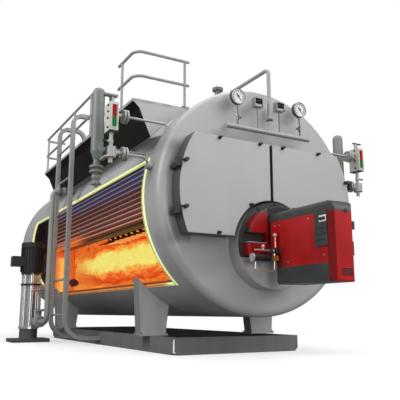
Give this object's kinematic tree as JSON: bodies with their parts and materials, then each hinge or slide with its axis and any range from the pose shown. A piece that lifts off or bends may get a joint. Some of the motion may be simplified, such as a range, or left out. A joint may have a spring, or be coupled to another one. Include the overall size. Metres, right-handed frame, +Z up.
{
  "type": "industrial fire-tube steam boiler",
  "caption": "Horizontal fire-tube steam boiler on a skid, with burner, hinged smoke box doors, walkway, ladder, water gauges, feed pump and a cut-out that shows furnace and tubes.",
  "frame": {"origin": "middle of the underside of the front skid beam, on the ground", "axes": "+X to the boiler's right side seen from the burner, +Y along the shell to the rear, +Z up"},
  "size_m": [4.0059, 8.5046, 3.947],
  "materials": {
    "skid_paint": "semi-matt dark grey paint",
    "leg_paint": "semi-matt grey paint",
    "casing_paint": "smooth satin grey paint",
    "door_paint": "satin light grey paint",
    "mineral_wool": "pale yellow mineral wool",
    "lining_board": "off-white insulating board",
    "shell_steel": "dark primed plate",
    "tube_plate_steel": "dark blue-grey primed plate",
    "furnace_steel": "dark scaled steel",
    "tube_steel": "heat-tinted drawn steel",
    "fitting_black": "black painted forging",
    "burner_red": "gloss red paint",
    "burner_black": "grained black plastic",
    "pump_brass": "machined brass",
    "pipe_steel": "satin grey painted pipe",
    "gauge_steel": "polished steel case",
    "switch_grey": "grey moulded case",
    "level_green": "grey-green paint",
    "level_housing": "pale warm grey paint",
    "walkway_grey": "satin grey paint",
    "rail_grey": "satin grey paint",
    "feed_steel": "brushed stainless steel",
    "motor_black": "matt black paint",
    "feed_grey": "satin grey paint"
  },
  "bodies": {
    "root": {"skid_side_beams": "skid_paint", "skid_cross_beams": "skid_paint", "front_legs": "leg_paint", "rear_legs": "leg_paint", "casing_top": "casing_paint", "casing_left": "casing_paint", "casing_bottom": "casing_paint", "casing_right": "casing_paint", "front_plate": "casing_paint", "rear_plate": "casing_paint", "flue_collar": "casing_paint", "safety_valve": "casing_paint", "burner_throat": "casing_paint", "insulation": "mineral_wool", "pressure_shell": "shell_steel", "front_tube_plate": "tube_plate_steel", "rear_tube_plate": "tube_plate_steel", "chamber_stay": "tube_plate_steel", "furnace_tube": "furnace_steel", "reversal_chamber": "furnace_steel", "left_fire_tubes": "tube_steel", "right_fire_tubes": "tube_steel", "middle_fire_tubes": "tube_steel", "hinge_brackets": "fitting_black", "burner_flange": "fitting_black", "burner_head": "burner_red", "burner_housing": "burner_red", "burner_front_cap": "burner_red", "burner_covers": "burner_black", "control_panel": "burner_black", "fuel_pump": "pump_brass", "gauge_manifold": "pipe_steel", "left_gauge_piping": "pipe_steel", "right_gauge_piping": "pipe_steel", "pressure_gauges": "gauge_steel", "pressure_switches": "switch_grey", "left_level_chamber": "level_green", "right_level_chamber": "level_green", "left_level_gauge": "level_housing", "right_level_gauge": "level_housing", "walkway_deck": "walkway_grey", "walkway_skirt": "walkway_grey", "front_guard_rail": "rail_grey", "side_guard_rail": "rail_grey", "ladder": "rail_grey", "feed_pump": "feed_steel", "feed_motor": "motor_black", "feed_pipe": "feed_grey"},
    "left_door_leaf": {"left_door": "door_paint", "left_door_lining": "lining_board", "left_door_fittings": "fitting_black"},
    "right_door_leaf": {"right_door": "door_paint", "right_door_lining": "lining_board", "right_door_fittings": "fitting_black"}
  },
  "joints": [
    {"name": "left_door_hinge", "type": "hinge", "parent": "root", "child": "left_door_leaf", "pos_m": [-1.255, -0.7775, 1.836], "axis": [0, 0, -1], "range_deg": [0, 105]},
    {"name": "right_door_hinge", "type": "hinge", "parent": "root", "child": "right_door_leaf", "pos_m": [1.255, -0.7775, 1.836], "axis": [0, 0, 1], "range_deg": [0, 105]}
  ]
}
